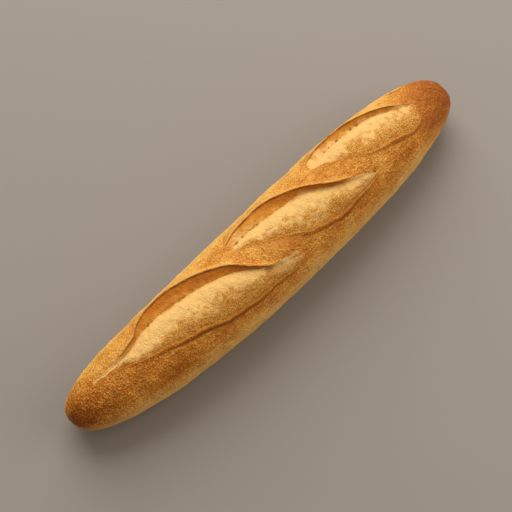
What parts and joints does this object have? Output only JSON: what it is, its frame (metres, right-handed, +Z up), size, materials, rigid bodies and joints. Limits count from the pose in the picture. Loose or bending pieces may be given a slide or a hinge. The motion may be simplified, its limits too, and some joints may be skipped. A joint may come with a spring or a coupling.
{
  "type": "baguette",
  "caption": "Short pointed wheat loaf with slanted overlapping scores, each opened under a thin lifted ear of crust, lying on a flat sole.",
  "frame": {"origin": "on the flat sole's plane, under the middle of the loaf's bounding box", "axes": "+X along the loaf towards its fuller end, +Y towards the side that the scores' ears lift on, +Z up out of the top crust"},
  "size_m": [0.32, 0.0582, 0.0496],
  "materials": {
    "crust": null
  },
  "bodies": {
    "root": {"loaf": "crust"}
  },
  "joints": []
}
